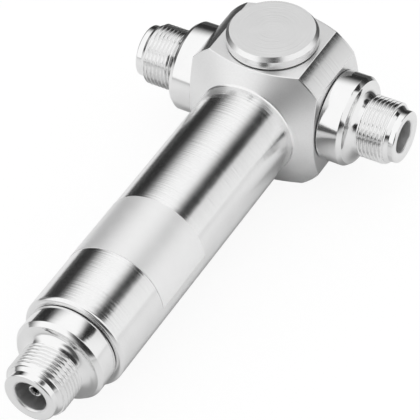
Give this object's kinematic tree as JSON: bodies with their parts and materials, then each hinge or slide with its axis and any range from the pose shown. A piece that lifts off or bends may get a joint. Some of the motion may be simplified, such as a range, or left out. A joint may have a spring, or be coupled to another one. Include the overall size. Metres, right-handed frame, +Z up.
{
  "type": "coaxial power splitter",
  "caption": "T-shaped coaxial power splitter: a long plated tube with a common threaded socket, and a milled head with a socket on either side under a round cap.",
  "frame": {"origin": "centre of the flat under the head, which it lies on", "axes": "+Z up to the cover cap, the tube and common port along -Y, the side ports along -X and +X"},
  "size_m": [0.0724, 0.1281, 0.038],
  "materials": {
    "housing": "bright plated, fine turning marks on the tube, satin milled flats",
    "cap": "satin plated, faint concentric turning marks",
    "connector": "bright plated, turned",
    "contact": "silver plated, bright",
    "bush": "plain turned",
    "inner_conductor": "silver plated, dull",
    "insulator": "white, matt",
    "seal": "black, matt",
    "label_film": "silver film, matt, blank"
  },
  "bodies": {
    "root": {"housing": "housing", "cover_cap": "cap", "cap_seal": "seal", "label": "label_film", "transformer_rod": "inner_conductor", "rod_support": "insulator", "junction_block": "inner_conductor", "common_connector": "connector", "common_contact": "contact", "common_insulator": "insulator", "common_bush": "bush", "common_gasket": "seal", "left_connector": "connector", "left_contact": "contact", "left_insulator": "insulator", "left_bush": "bush", "left_gasket": "seal", "right_connector": "connector", "right_contact": "contact", "right_insulator": "insulator", "right_bush": "bush", "right_gasket": "seal"}
  },
  "joints": []
}
